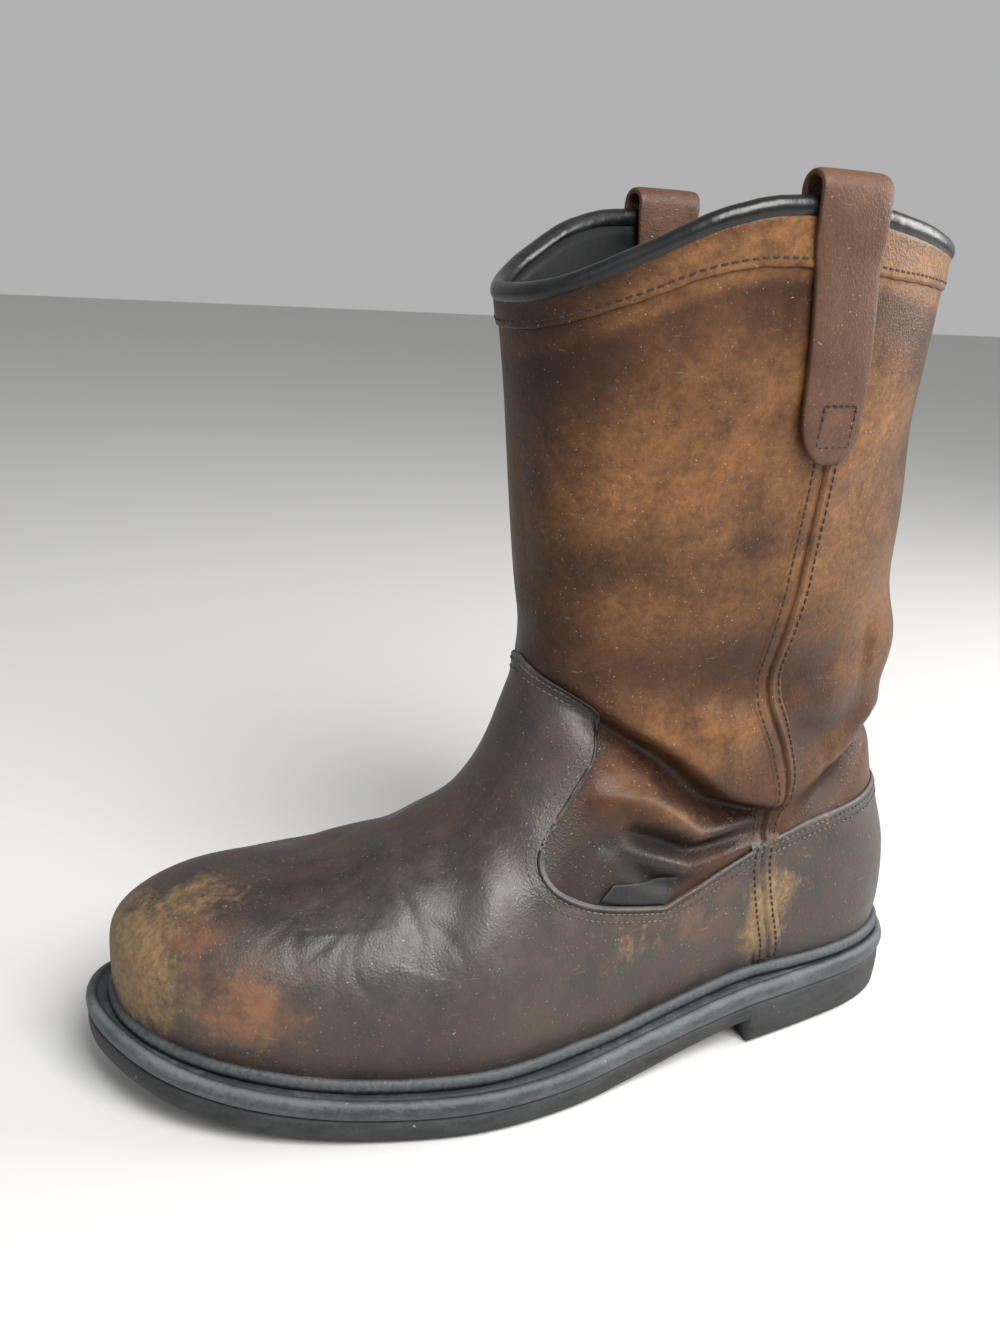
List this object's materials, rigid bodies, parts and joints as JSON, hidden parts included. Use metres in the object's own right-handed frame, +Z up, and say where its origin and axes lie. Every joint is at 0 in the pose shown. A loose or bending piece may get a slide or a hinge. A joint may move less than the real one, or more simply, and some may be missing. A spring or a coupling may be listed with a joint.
{
  "type": "pull-on work boot",
  "caption": "Left pull-on work boot with a tall worn leather shaft, dark foot, two pull straps and a ledged rubber sole with a low heel.",
  "frame": {"origin": "on the floor, under the middle of the boot's box", "axes": "+X towards the toe, +Y towards the wearer's outer side, +Z up"},
  "size_m": [0.3176, 0.1254, 0.3069],
  "materials": {
    "outsole_rubber": "dark grey rubber, dusty along its edges",
    "ledge_rubber": "lighter grey rubber, smooth and rounded",
    "bead_rubber": "dark rubber bead with fine ticks",
    "insole_fabric": "worn grey fabric",
    "upper_leather": "oiled leather, tan shaft and dark scuffed foot",
    "binding_leather": "black smooth leather, glossy",
    "strap_leather": "brown-red leather, worn edges"
  },
  "bodies": {
    "root": {"outsole": "outsole_rubber", "midsole": "ledge_rubber", "bead": "bead_rubber", "insole": "insole_fabric", "upper": "upper_leather", "collar_binding": "binding_leather", "pull_strap_outer": "strap_leather", "pull_strap_inner": "strap_leather"}
  },
  "joints": []
}
